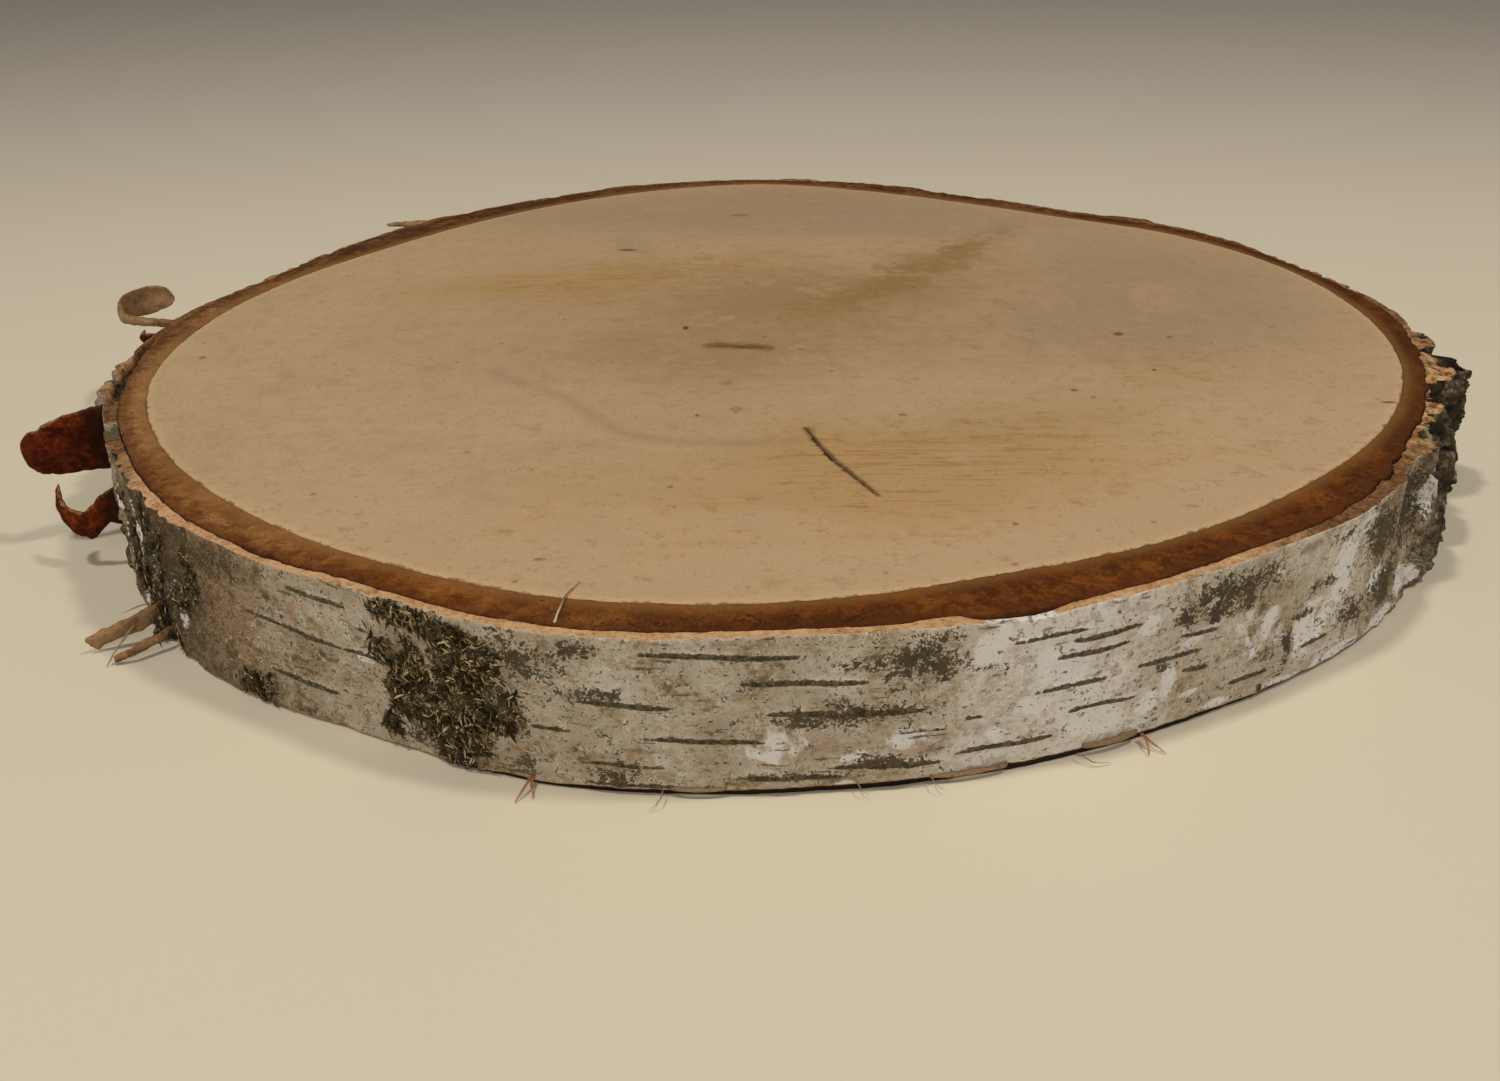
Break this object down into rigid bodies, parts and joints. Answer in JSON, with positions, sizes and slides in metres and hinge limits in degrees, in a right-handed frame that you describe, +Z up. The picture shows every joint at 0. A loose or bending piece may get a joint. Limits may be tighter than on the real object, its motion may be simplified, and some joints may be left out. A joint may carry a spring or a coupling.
{
  "type": "birch wood slice",
  "caption": "Round sawn slice of a birch trunk, flat on both faces, with a ring of brown inner bark and papery white outer bark that is corky at one end and peels at the other.",
  "frame": {"origin": "on the sawn underside, at the middle of the rim's outline, so that z = 0 is the surface that the slice stands on", "axes": "+Z up out of the top sawn face; +X along the longest way across, towards the corky end, with the peeling curls at -X; -Y is the front seen in the picture"},
  "size_m": [0.3318, 0.2966, 0.03],
  "materials": {
    "birch_wood": "dry sawn end grain, matt, pale tan with faint stains and rings",
    "inner_bark": "matt, red-brown, granular sawn bark",
    "outer_bark": "papery, matt to satin, white and grey with dark lenticels and black rough patches"
  },
  "bodies": {
    "root": {"wood_disc": "birch_wood", "inner_bark": "inner_bark", "outer_bark": "outer_bark"}
  },
  "joints": []
}
